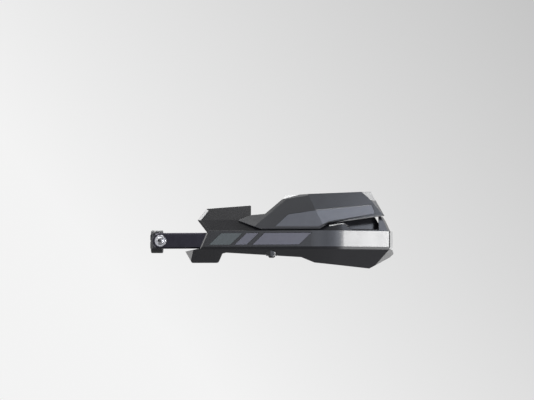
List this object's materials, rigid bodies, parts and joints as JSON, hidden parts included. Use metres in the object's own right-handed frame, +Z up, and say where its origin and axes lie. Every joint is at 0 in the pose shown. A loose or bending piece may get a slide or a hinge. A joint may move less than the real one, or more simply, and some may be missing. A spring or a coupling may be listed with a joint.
{
  "type": "motorcycle hand guard",
  "caption": "Left-hand motorcycle hand guard: a bent metal bow on a handlebar clamp and a bar-end expander carries a faceted plastic shell with a raised spoiler.",
  "frame": {"origin": "on the handlebar's axis, in the middle of the handlebar clamp", "axes": "+X along the handlebar to its outer end, -Y forwards to the road, +Z up"},
  "size_m": [0.3419, 0.1294, 0.1079],
  "materials": {
    "bow_metal": "black anodised, satin",
    "clamp_metal": "black anodised, matte",
    "stainless": "turned, bright",
    "screw_black": "black oxide, satin",
    "shell_plastic": "satin, moulded",
    "spoiler_plastic": "satin, moulded",
    "stripe_grey": "satin inlay",
    "panel_grey": "satin inlay",
    "insert_brass": "knurled",
    "weight_steel": "black, satin",
    "expander_metal": "plain"
  },
  "bodies": {
    "root": {"bow": "bow_metal", "pivot_bolt": "stainless", "clamp_body": "clamp_metal", "clamp_cap": "clamp_metal", "clamp_screws": "screw_black", "front_shell": "shell_plastic", "inner_stripe": "stripe_grey", "middle_stripe": "stripe_grey", "outer_stripe": "stripe_grey", "spoiler": "spoiler_plastic", "spoiler_panel": "panel_grey", "shell_screws": "stainless", "shell_inserts": "insert_brass", "spoiler_washers": "stainless", "spoiler_screws": "stainless", "lip_washer": "screw_black", "lip_screw": "screw_black", "bar_end_washer": "stainless", "bar_end_bolt": "stainless", "bar_end_weight": "weight_steel", "expander_sleeve": "expander_metal", "expander_cone": "expander_metal"}
  },
  "joints": []
}
